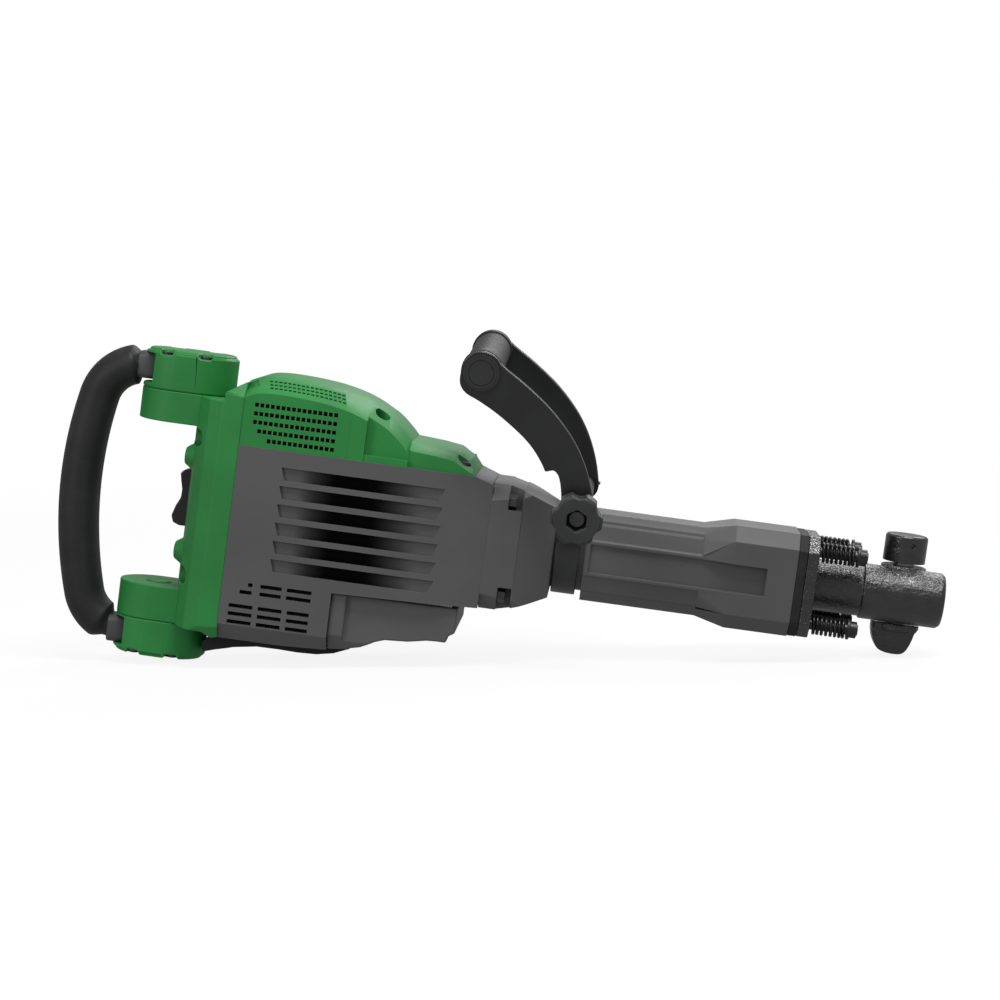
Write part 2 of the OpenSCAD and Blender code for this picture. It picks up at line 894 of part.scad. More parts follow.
module lower_handle_cap() {
    color(green)
        difference() {
            cap_block(-123.5, lug_low_z, false);
            block([-622, -22, -119.5], [-579, 22, lug_low_z + 1]);
            block([-650, -35, lower_z - neck_in_r - 0.6], [-628, 35, lug_low_z - 2]);
            block([-650, -13.6, lower_z - neck_in_r - 0.6], [-621, 13.6, lug_low_z - 2]);
            for (x = cap_screw_x, s = [-1, 1])
                bar_z(5, -128, -120, x, s * 22);
            for (x = cap_screw_x)
                side_pair(x - 5, x + 5, 22, 34, -128, -120);
        }
}

module handle_cap_screws() {
    color(steel)
        for (x = cap_screw_x, s = [-1, 1])
            for (z = [[111.5, 113.8, 112.6, 115], [-122.3, -120, -123, -121.4]])
                difference() {
                    bar_z(4.2, z[0], z[1], x, s * 22);
                    translate([x, s * 22, z[2]])
                        cylinder(r = 2.1, h = z[3] - z[2], $fn = 6);
                }
}

// ---------------------------------------------------------------- rear handle

bow_x = -358.5;
bow_z = 5.5;
upper_angle = 12;
lower_angle = 16;
upper_corner = 36;
lower_corner = 35;
upper_end = [bow_x - bow_r * cos(upper_angle), bow_z + bow_r * sin(upper_angle)];
lower_end = [bow_x - bow_r * cos(lower_angle), bow_z - bow_r * sin(lower_angle)];
upper_hub = upper_end + upper_corner * [cos(upper_angle), -sin(upper_angle)];
lower_hub = lower_end + lower_corner * [cos(lower_angle), sin(lower_angle)];

upper_z = upper_hub[1] + upper_corner;
lower_z = lower_hub[1] - lower_corner;

// Stations along the handle's line: centre x, centre z, direction of its outer side, radius of the grip there
function corner_station(hub, r, a, grip) = [hub[0] + r * cos(a), hub[1] + r * sin(a), a, grip];
neck_in_r = 9.8;
bow_steps = 14;
handle_stations = concat(
    [for (a = [90, 97]) corner_station(upper_hub, upper_corner, a, neck_in_r)],
    [for (a = [100, 105, 112, 121, 132, 143, 155]) corner_station(upper_hub, upper_corner, a, a < 101 ? 13.4 : grip_r)],
    [for (i = [0:bow_steps]) let (a = 180 - upper_angle + (upper_angle + lower_angle) * i / bow_steps)
        corner_station([bow_x, bow_z], bow_r, a, grip_r)],
    [for (a = [208, 218, 228, 238]) corner_station(lower_hub, lower_corner, a, grip_r)],
    [for (a = [244, 249]) corner_station(lower_hub, lower_corner, a, 14 - (a - 244) * 0.5)],
    [for (a = [253, 261, 270]) corner_station(lower_hub, lower_corner, a, neck_in_r)]
);
function straight_ends(stations, x_end, r) = concat(
    [[x_end, upper_z, 90, r]], stations, [[x_end, lower_z, 270, r]]
);

// Pipe along the stations; inner is the radius of its bore, or 0 for a solid bar.
// wide is how much further the outside reaches across Y.
pipe_sides = 24;
module handle_pipe(stations, outer, inner, wide = 0) {
    n = len(stations);
    ring = function(s, r, more) [
        for (k = [0:pipe_sides - 1]) let (w = 360 * k / pipe_sides)
            [s[0] + r * cos(w) * cos(s[2]), (r + more) * sin(w), s[1] + r * cos(w) * sin(s[2])]
    ];
    points = [
        for (s = stations) each ring(s, outer > 0 ? outer : s[3], wide),
        if (inner > 0) for (s = stations) each ring(s, inner, 0)
    ];
    base = n * pipe_sides;
    next = function(k) (k + 1) % pipe_sides;
    faces = [
        for (i = [0:n - 2], k = [0:pipe_sides - 1])
            [i * pipe_sides + k, (i + 1) * pipe_sides + k, (i + 1) * pipe_sides + next(k), i * pipe_sides + next(k)],
        for (i = [0:n - 2], k = [0:pipe_sides - 1]) if (inner > 0)
            [base + i * pipe_sides + next(k), base + (i + 1) * pipe_sides + next(k),
                base + (i + 1) * pipe_sides + k, base + i * pipe_sides + k],
        for (k = [0:pipe_sides - 1]) if (inner > 0)
            [k, next(k), base + next(k), base + k],
        for (k = [0:pipe_sides - 1]) if (inner > 0)
            [(n - 1) * pipe_sides + next(k), (n - 1) * pipe_sides + k,
                base + (n - 1) * pipe_sides + k, base + (n - 1) * pipe_sides + next(k)],
        if (inner == 0) [for (k = [0:pipe_sides - 1]) k],
        if (inner == 0) [for (k = [pipe_sides - 1:-1:0]) (n - 1) * pipe_sides + k]
    ];
    polyhedron(points, faces, convexity = 10);
}

tube_r = 8;
module handle_tube() {
    color(steel)
        handle_pipe(straight_ends(handle_stations, -596, tube_r), tube_r, 0);
}

module rear_grip() {
    color(black)
        handle_pipe(straight_ends(handle_stations, -628.2, neck_in_r), 0, tube_r + gap, 3.4);
}

module handle_dampers() {
    color(black)
        difference() {
            union() {
                block([-621.5, -21.5, lug_top_z + 0.1], [-579.5, 21.5, 110.8]);
                block([-621.5, -21.5, -119.3], [-579.5, 21.5, lug_low_z - 0.1]);
            }
            for (z = [upper_z, lower_z])
                bar_x(tube_r + gap, -640, -595.9, 0, z);
        }
}

module underside_bumper() {
    color(black)
        difference() {
            xz_prism([
                [-564.5, -115.5], [-555, -112], [-540, -107.5], [-522, -104.6], [-505, -104.4], [-490, -104.8],
                [-475, -104.2], [-462, -101.6], [-450, -96.5], [-445, -92], [-452, -94.2], [wall_x, -96.2],
                [-500, floor_z - 0.2], [-549.8, floor_z - 0.2], [-556, -99.4], [-564.5, -106]
            ], 26);
            for (s = [-1, 1])
                translate([-600, s * 30, -122])
                    rotate([s * 45, 0, 0])
                        translate([0, -12, -12])
                            cube([200, 24, 24]);
        }
}

// ---------------------------------------------------------------- switch

module switch_body() {
    color(black)
        difference() {
            block([-590.6, -13.6, -23.6], [-562, 13.6, 27.6]);
            // Well of the rocker
            block([-592, -11.6, -22.6], [-576, 11.6, 26.6]);
        }
}

rocker_x = -585;
rocker_z = 2;
module switch_rocker() {
    color(black)
        difference() {
            union() {
                xz_prism([
                    [-589, -20.5], [-596, -20.5], [-601, -18.6], [-602.8, -13.5], [-600.2, -5], [-597, 1.5],
                    [-596.8, 8], [-598.4, 15], [-599.4, 20.5], [-597, 23.2], [-591, 25], [-589, 25]
                ], 11);
                bar_y(5, -11, 11, rocker_x, rocker_z);
                block([-590, -11, rocker_z - 5], [rocker_x, 11, rocker_z + 5]);
            }
            bar_y(1.6, -12, 12, rocker_x, rocker_z);
        }
}

// ---------------------------------------------------------------- motor

module stator_core() {
    color(steel)
        difference() {
            bar_z(41.9, -20, 42, motor_x);
            bar_z(29, -21, 43, motor_x);
        }
}

module field_coils() {
    color(copper)
        for (z = [[42.2, 52], [-30, -20.2]])
            for (a = [45, 225])
                translate([motor_x, 0, z[0]])
                    rotate([0, 0, a])
                        rotate_extrude(angle = 90)
                            translate([30, 0])
                                square([9, z[1] - z[0]]);
}

module armature_shaft() {
    color(steel)
        union() {
            bar_z(6, -80, 89.8, motor_x);
            translate([motor_x, 0, -87])
                linear_extrude(10)
                    gear_outline(pinion_teeth, fast_module);
        }
}

module armature_core() {
    color(steel)
        difference() {
            bar_z(28, -18, 40, motor_x);
            bar_z(6 + gap, -19, 41, motor_x);
            for (i = [0:11])
                translate([motor_x, 0, -19])
                    rotate([0, 0, i * 30])
                        translate([24, -1.2, 0])
                            cube([6, 2.4, 61]);
        }
}

module armature_windings() {
    color(copper) {
        ring_z(23.5, 9, 40.1, 53, motor_x);
        ring_z(23.5, 9, -30, -18.1, motor_x);
    }
}

module commutator() {
    color(copper)
        difference() {
            bar_z(15, 56, 75, motor_x);
            bar_z(6 + gap, 55, 76, motor_x);
            for (i = [0:19])
                translate([motor_x, 0, 58])
                    rotate([0, 0, i * 18])
                        translate([14, -0.4, 0])
                            cube([2, 0.8, 18]);
        }
}

module cooling_fan() {
    color(black)
        difference() {
            union() {
                bar_z(38, -45, -43, motor_x);
                bar_z(12, -45, -33, motor_x);
                for (i = [0:11])
                    translate([motor_x, 0, -44])
                        rotate([0, 0, i * 30])
                            translate([11, -1, 0])
                                cube([26, 2, 10]);
            }
            bar_z(6 + gap, -46, -32, motor_x);
        }
}

module armature_bearings() {
    color(steel) {
        ring_z(12.98, 6 + gap, -57.5, -50, motor_x);
        ring_z(10.98, 6 + gap, 81, 89.9, motor_x);
    }
}

module brush_holders() {
    color(black)
        for (s = [-1, 1])
            difference() {
                translate([motor_x - 7, s > 0 ? 18 : -49.9, 58])
                    cube([14, 31.9, 14]);
                translate([motor_x - 4.6, s > 0 ? 14 : -44, 60.4])
                    cube([9.2, 30, 9.2]);
            }
}

module carbon_brushes() {
    color(black)
        for (s = [-1, 1])
            translate([motor_x - 4.5, s > 0 ? 15.2 : -34.2, 60.5])
                cube([9, 19, 9]);
}

// ---------------------------------------------------------------- gears and crank

module idler_shaft() {
    color(steel)
        union() {
            bar_z(5, -92.8, -49.5, idler_x);
            bar_z(7, -87, -73, idler_x);
            translate([idler_x, 0, -75])
                linear_extrude(15)
                    gear_outline(pinion_teeth, slow_module);
        }
}

module idler_gear() {
    color(steel)
        difference() {
            translate([idler_x, 0, -86])
                linear_extrude(8)
                    gear_outline(idler_teeth, fast_module, 180 + 180 / idler_teeth);
            bar_z(7.02, -87, -77, idler_x);
            for (i = [0:5])
                bar_z(5.5, -87, -77, idler_x + 19 * cos(i * 60), 19 * sin(i * 60));
        }
}

module idler_bearings() {
    color(steel) {
        ring_z(9.48, 5 + gap, -92.9, -88, idler_x);
        ring_z(10.98, 5 + gap, -57.5, -49, idler_x);
    }
}

module crankshaft() {
    web_r = 34;
    color(steel)
        union() {
            bar_z(10, -75, -45, crank_x);
            bar_z(12.5, -46, -22, crank_x);
            difference() {
                bar_z(web_r, -23.5, -11, crank_x);
                // The web is cut back beside the pin, which leaves a counterweight
                for (s = [-1, 1])
                    translate([crank_x + s * 33, -22, -25])
                        cylinder(r = 17, h = 16);
            }
            bar_z(crank_pin_r, -12, 8.8, crank_x, -crank_throw);
        }
}

module crank_gear() {
    color(steel)
        difference() {
            translate([crank_x, 0, -72])
                linear_extrude(10.5)
                    gear_outline(crank_teeth, slow_module, 180 + 180 / crank_teeth);
            bar_z(10.02, -73, -60, crank_x);
            for (i = [0:5])
                bar_z(6, -73, -60, crank_x + 25 * cos(i * 60 + 30), 25 * sin(i * 60 + 30));
        }
}

module crank_bearings() {
    color(steel) {
        ring_z(16.98, 12.5 + gap, -44.8, -32.2, crank_x);
        ring_z(14.98, 10 + gap, -57.5, -49, crank_x);
    }
}

// ---------------------------------------------------------------- side handle

module rolled() {
    rotate([ring_tilt, 0, 0])
        children();
}

module clamp_band() {
    ring_out = neck_r + 4;
    back = -301.8;
    front = -283;
    color(black)
        rolled()
            difference() {
                union() {
                    bar_x(ring_out, back, front);
                    // Ears and the cross tube for the bolt
                    block([clamp_x - 11, -22, 20], [clamp_x + 5, 22, bolt_z]);
                    bar_y(9.2, -arm_gap + 0.4, arm_gap - 0.4, clamp_x, bolt_z);
                }
                bar_x(neck_r + gap, back - 5, front + 5);
                bar_y(bolt_r + gap, -70, 70, clamp_x, bolt_z);
                // Split that the bolt draws together
                block([back - 5, -2, 20], [front + 15, 2, 60]);
            }
}

module clamp_bolt() {
    color(steel)
        rolled()
            union() {
                bar_y(bolt_r, -80, arm_gap + arm_t + 1, clamp_x, bolt_z);
                translate([clamp_x, arm_gap + arm_t + 8, bolt_z])
                    rotate([90, 0, 0])
                        cylinder(r = 10.5, h = 7, $fn = 6);
            }
}

module clamp_knob() {
    outer = -arm_gap - arm_t - 22.5;
    inner = -arm_gap - arm_t - 0.5;
    lobes = 6;
    color(black)
        rolled()
            difference() {
                union() {
                    bar_y(19.6, outer + 1.5, inner - 6, clamp_x, bolt_z);
                    bar_y(17.8, outer, outer + 2, clamp_x, bolt_z);
                    bar_y(13.5, inner - 7, inner, clamp_x, bolt_z);
                }
                for (i = [0:lobes - 1])
                    bar_y(8, outer - 1, inner - 5.5, clamp_x + 24.8 * cos(i * 360 / lobes + 30),
                        bolt_z + 24.8 * sin(i * 360 / lobes + 30));
                bar_y(bolt_r + gap, outer - 1, inner + 1, clamp_x, bolt_z);
                // Hex socket in the face
                translate([clamp_x, outer + 11, bolt_z])
                    rotate([90, 30, 0])
                        cylinder(r = 8.4, h = 12, $fn = 6);
            }
}

// Side outline of one arm, from the clamp bolt to the side grip
arm_outline = concat(
    flowing([
        [-275.5, 44], [-280, 62], [-288, 81.5], [-299.5, 99.5], [-317, 118], [-338, 134], [-356, 145.5], [-366, 153.5]
    ], 4),
    flowing([
        [-388.4, 140], [-388.2, 130], [-383, 123], [-372, 118], [-357.5, 110.3], [-340, 98.5],
        [-328, 88], [-319.5, 77], [-316.5, 71.5]
    ], 4),
    flowing([[-310, 73.6], [-306, 69.5], [-303, 60], [-300.5, 44]], 4)
);
module side_arm(y0) {
    translate([0, y0 + arm_t, 0])
        difference() {
            union() {
                rotate([90, 0, 0])
                    linear_extrude(arm_t)
                        polygon(arm_outline);
                bar_y(12.6, -arm_t, 0, clamp_x, bolt_z);
                bar_y(side_grip_r + 1, -arm_t, 0, side_grip_x, side_grip_z);
            }
            bar_y(bolt_r + gap, -arm_t - 1, 1, clamp_x, bolt_z);
            bar_y(5.05, -arm_t - 1, 1, side_grip_x, side_grip_z);
        }
}

module side_arm_near() {
    color(black)
        rolled()
            side_arm(-arm_gap - arm_t);
}

module side_arm_far() {
    color(black)
        rolled()
            side_arm(arm_gap);
}

module side_grip() {
    color(black)
        rolled()
            difference() {
                union() {
                    bar_y(side_grip_r, -arm_gap + 0.1, arm_gap - 0.1, side_grip_x, side_grip_z);
                    // Collars beside the arms
                    for (s = [-1, 1])
                        bar_y(side_grip_r + 1.3, s > 0 ? arm_gap - 6 : -arm_gap + 0.1, s > 0 ? arm_gap - 0.1 : -arm_gap + 6,
                            side_grip_x, side_grip_z);
                }
                bar_y(5.05, -70, 70, side_grip_x, side_grip_z);
            }
}

module grip_bolt() {
    end = arm_gap + arm_t;
    color(black)
        rolled()
            union() {
                bar_y(5, -end - 1, end + 1, side_grip_x, side_grip_z);
                // Domed end caps with a ring groove
                difference() {
                    for (s = [-1, 1]) {
                        bar_y(13.6, s > 0 ? end + 0.1 : -end - 2.4, s > 0 ? end + 2.4 : -end - 0.1, side_grip_x, side_grip_z);
                        bar_y(11.6, s > 0 ? end : -end - 3.2, s > 0 ? end + 3.2 : -end, side_grip_x, side_grip_z);
                    }
                    for (s = [-1, 1])
                        difference() {
                            bar_y(10, s > 0 ? end + 2.4 : -end - 4, s > 0 ? end + 4 : -end - 2.4, side_grip_x, side_grip_z);
                            bar_y(9, -end - 5, end + 5, side_grip_x, side_grip_z);
                        }
                }
            }
}

// ---------------------------------------------------------------- one line for each node

crankcase();
motor_housing();
tail_cover();
top_cover();
bottom_cover();
gear_plate();
barrel();
upper_handle_cap();
lower_handle_cap();
handle_tube();
rear_grip();
handle_dampers();
handle_cap_screws();
lug_plug();
underside_bumper();
switch_body();
switch_rocker();
stator_core();
field_coils();
brush_holders();
carbon_brushes();
armature_bearings();
armature_shaft();
armature_core();
armature_windings();
commutator();
cooling_fan();
idler_shaft();
idler_gear();
idler_bearings();
crankshaft();
crank_gear();
crank_bearings();
connecting_rod();
piston();
wrist_pin();
piston_ring();
cylinder_liner();
striker();
striker_ring();
impact_bolt();
bolt_guide();
damper_ring();
front_gasket();
front_cover();
nose_bolts();
nose_springs();
nose_nuts();
retainer_shaft();
retainer_knob();
retainer_lever();
clamp_band();
clamp_bolt();
clamp_knob();
side_arm_near();
side_arm_far();
side_grip();
grip_bolt();
crankcase_bolts();
cover_screws();
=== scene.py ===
"""Finishes, smooth pieces, floor, light and camera for an electric demolition hammer."""

import math

import bmesh
import bpy
from mathutils import Matrix, Vector


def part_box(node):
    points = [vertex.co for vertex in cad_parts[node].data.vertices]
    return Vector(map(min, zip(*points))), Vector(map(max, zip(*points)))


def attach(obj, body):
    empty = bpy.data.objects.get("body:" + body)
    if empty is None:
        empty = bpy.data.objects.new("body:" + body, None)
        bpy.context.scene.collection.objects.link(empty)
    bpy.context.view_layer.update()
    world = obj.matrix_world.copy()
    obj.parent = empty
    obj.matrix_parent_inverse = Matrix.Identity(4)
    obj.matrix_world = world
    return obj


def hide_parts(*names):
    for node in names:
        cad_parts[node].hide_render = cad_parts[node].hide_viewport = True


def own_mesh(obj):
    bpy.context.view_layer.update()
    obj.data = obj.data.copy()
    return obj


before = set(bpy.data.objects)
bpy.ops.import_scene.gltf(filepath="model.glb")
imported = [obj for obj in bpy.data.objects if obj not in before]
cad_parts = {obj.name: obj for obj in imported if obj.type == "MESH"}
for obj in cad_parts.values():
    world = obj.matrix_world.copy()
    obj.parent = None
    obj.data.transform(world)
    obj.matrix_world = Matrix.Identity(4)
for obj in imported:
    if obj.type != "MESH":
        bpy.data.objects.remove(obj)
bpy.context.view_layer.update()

MM = 0.001


# ---------------------------------------------------------------- shader arithmetic

def join(tree, socket, value):
    """Gives a socket a link or a value."""
    if isinstance(value, Wire):
        tree.links.new(value.socket, socket)
    elif isinstance(value, tuple) and len(value) == 3 and socket.type == "RGBA":
        socket.default_value = (*value, 1)
    else:
        socket.default_value = value


class Wire:
    """An output socket that plain arithmetic works on."""

    def __init__(self, tree, socket):
        self.tree, self.socket = tree, socket

    def math(self, operation, *others, clamp=False):
        """Adds a Math node that starts from this socket."""
        made = self.tree.nodes.new("ShaderNodeMath")
        made.operation = operation
        made.use_clamp = clamp
        for socket, value in zip(made.inputs, (self, *others)):
            join(self.tree, socket, value)
        return Wire(self.tree, made.outputs[0])

    def __add__(self, other):
        return self.math("ADD", other)

    def __sub__(self, other):
        return self.math("SUBTRACT", other)

    def __mul__(self, other):
        return self.math("MULTIPLY", other)

    __radd__ = __add__
    __rmul__ = __mul__

    def __rsub__(self, other):
        return self * -1 + other

    def size(self):
        return self.math("ABSOLUTE")

    def clipped(self):
        return self.math("ADD", 0.0, clamp=True)

    def rise(self, low, high):
        """0 below low, 1 above high, smooth between."""
        made = self.tree.nodes.new("ShaderNodeMapRange")
        made.interpolation_type = "SMOOTHSTEP"
        for socket, value in zip(made.inputs, (self, low, high, 0.0, 1.0)):
            join(self.tree, socket, value)
        return Wire(self.tree, made.outputs[0])

    def within(self, low, high, soft):
        """1 between low and high, 0 outside."""
        return self.rise(low - soft, low + soft) * (1 - self.rise(high - soft, high + soft))


class Finish:
    """One material, built up from its node tree."""

    def __init__(self, name, **constants):
        self.material = bpy.data.materials.new(name)
        self.material.use_nodes = True
        self.tree = self.material.node_tree
        self.tree.nodes.clear()
        self.shader = self.tree.nodes.new("ShaderNodeBsdfPrincipled")
        self.surface = self.tree.nodes.new("ShaderNodeOutputMaterial").inputs[0]
        self.tree.links.new(self.shader.outputs[0], self.surface)
        for socket, value in constants.items():
            self.shader.inputs[socket.replace("_", " ")].default_value = value
        self.place = self.node("TexCoord", output="Object")

    def node(self, kind, settings=None, sockets=None, output=0):
        """Adds a node: its settings first, then what its sockets hold."""
        made = self.tree.nodes.new("ShaderNode" + kind)
        for name, value in (settings or {}).items():
            setattr(made, name, value)
        for name, value in (sockets or {}).items():
            join(self.tree, made.inputs[name], value)
        return Wire(self.tree, made.outputs[output])

    def grain(self, scale, detail=2.0, roughness=0.5, stretch=None):
        """Noise with so many lumps to the metre."""
        where = self.place
        if stretch:
            where = self.node("Mapping", sockets={"Vector": where, "Scale": stretch})
        return self.node("TexNoise", sockets={
            "Vector": where, "Scale": scale, "Detail": detail, "Roughness": roughness})

    def specks(self, scale, size):
        """Small round specks, 1 inside and 0 outside."""
        distance = self.node(
            "TexVoronoi", sockets={"Vector": self.place, "Scale": scale}, output="Distance")
        return 1 - distance.rise(size * 0.6, size)

    def axes(self, vector=None):
        """The three parts of a vector, or of the place on the piece."""
        split = self.tree.nodes.new("ShaderNodeSeparateXYZ")
        join(self.tree, split.inputs[0], vector or self.place)
        return [Wire(self.tree, output) for output in split.outputs]

    def edges(self, radius):
        """1 along outer and inner edges, 0 on open faces."""
        rounded = self.node("Bevel", {"samples": 4}, {"Radius": radius})
        plain = self.node("NewGeometry", output="Normal")
        turned = self.node(
            "VectorMath", {"operation": "DOT_PRODUCT"}, {0: rounded, 1: plain}, "Value")
        return (1 - turned).rise(0.02, 0.25)

    def blend(self, factor, first, second):
        """Mixes two colours."""
        return self.node("Mix", {"data_type": "RGBA"}, {0: factor, 6: first, 7: second}, 2)

    def bump(self, height, distance, strength=1.0):
        """Relief that is so many metres deep."""
        return self.node(
            "Bump", sockets={"Height": height, "Distance": distance, "Strength": strength})

    def set(self, **values):
        """Gives sockets of the shader a value or a link, and hands back the material."""
        for name, value in values.items():
            join(self.tree, self.shader.inputs[name.replace("_", " ")], value)
        return self.material


def shade(colour, factor):
    """A colour made darker or lighter."""
    return tuple(channel * factor for channel in colour)


# ---------------------------------------------------------------- finishes

def moulded_green():
    """Satin green nylon with a fine spark texture."""
    finish = Finish("green_nylon", Specular_IOR_Level=0.4)
    green = (0.019, 0.222, 0.045)
    cloud = finish.grain(14, 3).rise(0.35, 0.65)
    fine = finish.grain(2600, 2)
    rubbed = finish.edges(0.9 * MM)
    scuffs = finish.grain(60, 5, 0.7, (1, 1, 3)).rise(0.6, 0.78)
    base = finish.blend(cloud, shade(green, 0.9), shade(green, 1.08))
    base = finish.blend(rubbed * 0.4, base, (0.085, 0.34, 0.12))
    base = finish.blend(scuffs * 0.15, base, (0.06, 0.27, 0.09))
    return finish.set(
        Base_Color=base,
        Roughness=(0.4 + fine * 0.1 + cloud * 0.05 + scuffs * 0.08).clipped(),
        Normal=finish.bump(fine, 0.05 * MM, 0.5),
    )


# Louvres of the housing: their field, the side wall that they start from, and the stretches
# over which their painted shade grows darker towards the middle
LOUVRE_X = (-0.5175, -0.387)
LOUVRE_Z = (-0.0425, 0.0415)
LOUVRE_WALL = 0.058
LOUVRE_DEPTH = (1.2 * MM, 5 * MM)
BACK_FADE = (-0.509, -0.472)
FRONT_FADE = (-0.445, -0.403)


def louvre_painted_shade(finish):
    """Mask of painted shade inside the louvres, darkest deep in and towards the middle of the
    field.
    """
    x, y, z = finish.axes()
    deep = (LOUVRE_WALL - y.size()).rise(*LOUVRE_DEPTH)
    field = x.within(*LOUVRE_X, 0.6 * MM) * z.within(*LOUVRE_Z, 0.4 * MM)
    middle = x.rise(*BACK_FADE) * (1 - x.rise(*FRONT_FADE))
    return deep * field * (0.12 + middle * 0.86)


def painted_grey(name, grey, louvres=False):
    """Satin grey paint on die-cast alloy."""
    finish = Finish(name, Specular_IOR_Level=0.45)
    cloud = finish.grain(9, 3).rise(0.3, 0.7)
    peel = finish.grain(700, 2)
    fine = finish.grain(3000, 1)
    dust = finish.specks(160, 0.12) * finish.grain(30).rise(0.5, 0.7)
    rubbed = finish.edges(0.8 * MM)
    base = finish.blend(cloud, shade(grey, 0.9), shade(grey, 1.1))
    base = finish.blend(rubbed * 0.3, base, shade(grey, 1.9))
    base = finish.blend(dust * 0.25, base, shade(grey, 2.2))
    louvre_shade = 0.0
    # Painted shade: the louvres go near black, and turn metallic so that the near-black colour also
    # takes away their reflections.
    if louvres:
        louvre_shade = louvre_painted_shade(finish)
        base = finish.blend(louvre_shade, base, (0.003, 0.003, 0.003))
    return finish.set(
        Base_Color=base,
        Metallic=louvre_shade,
        Roughness=(0.43 + peel * 0.12 + cloud * 0.05).clipped(),
        Normal=finish.bump(peel + fine * 0.5, 0.05 * MM, 0.6),
    )


def grip_rubber():
    """Matt rubber with fine pores, rubbed lighter by hands."""
    finish = Finish("grip_rubber", Specular_IOR_Level=0.35)
    cloud = finish.grain(25, 3).rise(0.3, 0.7)
    fine = finish.grain(2400, 2)
    pores = finish.specks(1500, 0.35)
    worn = finish.grain(45, 4, 0.6, (1, 1, 2)).rise(0.52, 0.75)
    base = finish.blend(cloud, (0.012, 0.0121, 0.0123), (0.018, 0.0182, 0.0186))
    base = finish.blend(worn * 0.3, base, (0.034, 0.0345, 0.0355))
    return finish.set(
        Base_Color=base,
        Roughness=(0.5 + fine * 0.14 - worn * 0.1).clipped(),
        Normal=finish.bump(fine - pores * 0.4, 0.07 * MM, 0.7),
    )


def soft_rubber():
    """Dull black rubber with a little dust on it."""
    finish = Finish("black_rubber", Specular_IOR_Level=0.35)
    fine = finish.grain(1500, 3)
    dusty = finish.grain(40, 4, 0.6).rise(0.5, 0.75)
    base = finish.blend(dusty * 0.5, (0.012, 0.012, 0.0125), (0.035, 0.034, 0.033))
    return finish.set(
        Base_Color=base,
        Roughness=(0.55 + fine * 0.2).clipped(),
        Normal=finish.bump(fine, 0.08 * MM, 0.6),
    )


def oiled_casting(name="oiled_casting", lumps=1.0, colour=(0.011, 0.011, 0.0115)):
    """Rough forged steel, blackened and oiled."""
    finish = Finish(name, Specular_IOR_Level=1.0)
    big = finish.grain(170, 3, 0.6, (0.6, 1.2, 1.2))
    mid = finish.grain(520, 3, 0.65)
    small = finish.grain(1500, 2)
    pits = finish.specks(420, 0.3) * finish.grain(45, 2).rise(0.45, 0.6)
    streaks = finish.grain(120, 4, 0.65, (0.35, 1.3, 1.3)).rise(0.4, 0.62)
    rubbed = finish.edges(0.7 * MM)
    base = finish.blend(big.rise(0.3, 0.7), shade(colour, 0.55), shade(colour, 1.3))
    base = finish.blend(rubbed * 0.3, base, (0.1, 0.1, 0.102))
    # Bright metal on the high spots of the rough skin, kept to the faces that look up: partly
    # rubbed wear, partly a painted highlight for the glints that the light from above makes
    upward = finish.axes(finish.node("TexCoord", output="Normal"))[2].rise(0.2, 0.85)
    wear_and_glints = mid.rise(0.46, 0.6) * (0.3 + streaks * 0.7) * upward * lumps
    base = finish.blend(wear_and_glints, base, (0.3, 0.3, 0.304))
    return finish.set(
        Base_Color=base,
        Metallic=(0.08 + wear_and_glints * 0.85 + rubbed * 0.2).clipped(),
        Roughness=(0.2 - streaks * 0.08 + small * 0.08).clipped(),
        Normal=finish.bump(big + mid * 0.75 - pits * 0.25, 0.85 * MM * lumps, 1.0),
    )


def steel(name, colour, rough=0.3, brushed=(1, 1, 1), oily=0.0, marks=0.35):
    """Bare or plated steel, finely scratched along one way."""
    finish = Finish(name, Metallic=1.0, Coat_Roughness=0.1)
    lines = finish.grain(900, 3, 0.6, brushed)
    cloud = finish.grain(60, 4, 0.6).rise(0.35, 0.7)
    rubbed = finish.edges(0.4 * MM)
    base = finish.blend(cloud, shade(colour, 0.78), colour)
    base = finish.blend(rubbed * marks, base, tuple(min(1.0, c * 1.8 + 0.08) for c in colour))
    return finish.set(
        Base_Color=base,
        Roughness=(rough + lines * 0.16 + cloud * 0.08).clipped(),
        Coat_Weight=cloud * oily,
        Normal=finish.bump(lines, 0.03 * MM, 0.5),
    )


def moulded_black(name, colour, rough, grain_size=1900, relief=0.05, worn=2.6):
    """Black plastic or coating; relief is in mm and worn lightens its edges, as wear, and on the
    arm coat mostly as a painted highlight.
    """
    finish = Finish(name, Specular_IOR_Level=0.5)
    fine = finish.grain(grain_size, 2)
    cloud = finish.grain(30, 3).rise(0.3, 0.7)
    rubbed = finish.edges(0.6 * MM)
    base = finish.blend(cloud, shade(colour, 0.85), shade(colour, 1.15))
    base = finish.blend(rubbed * 0.3, base, shade(colour, worn))
    return finish.set(
        Base_Color=base,
        Roughness=(rough + fine * 0.12 - rubbed * 0.05).clipped(),
        Normal=finish.bump(fine, relief * MM, 0.6),
    )


def foam():
    """Dark open-cell foam of an air filter."""
    finish = Finish("filter_foam", Specular_IOR_Level=0.1)
    holes = finish.specks(1100, 0.45)
    cloud = finish.grain(60, 3).rise(0.3, 0.7)
    base = finish.blend(holes, (0.012, 0.012, 0.012), (0.003, 0.003, 0.003))
    base = finish.blend(cloud * 0.4, base, (0.018, 0.0175, 0.017))
    return finish.set(
        Base_Color=base,
        Roughness=(0.85 + cloud * 0.1).clipped(),
        Normal=finish.bump(1 - holes, 0.3 * MM, 0.8),
    )


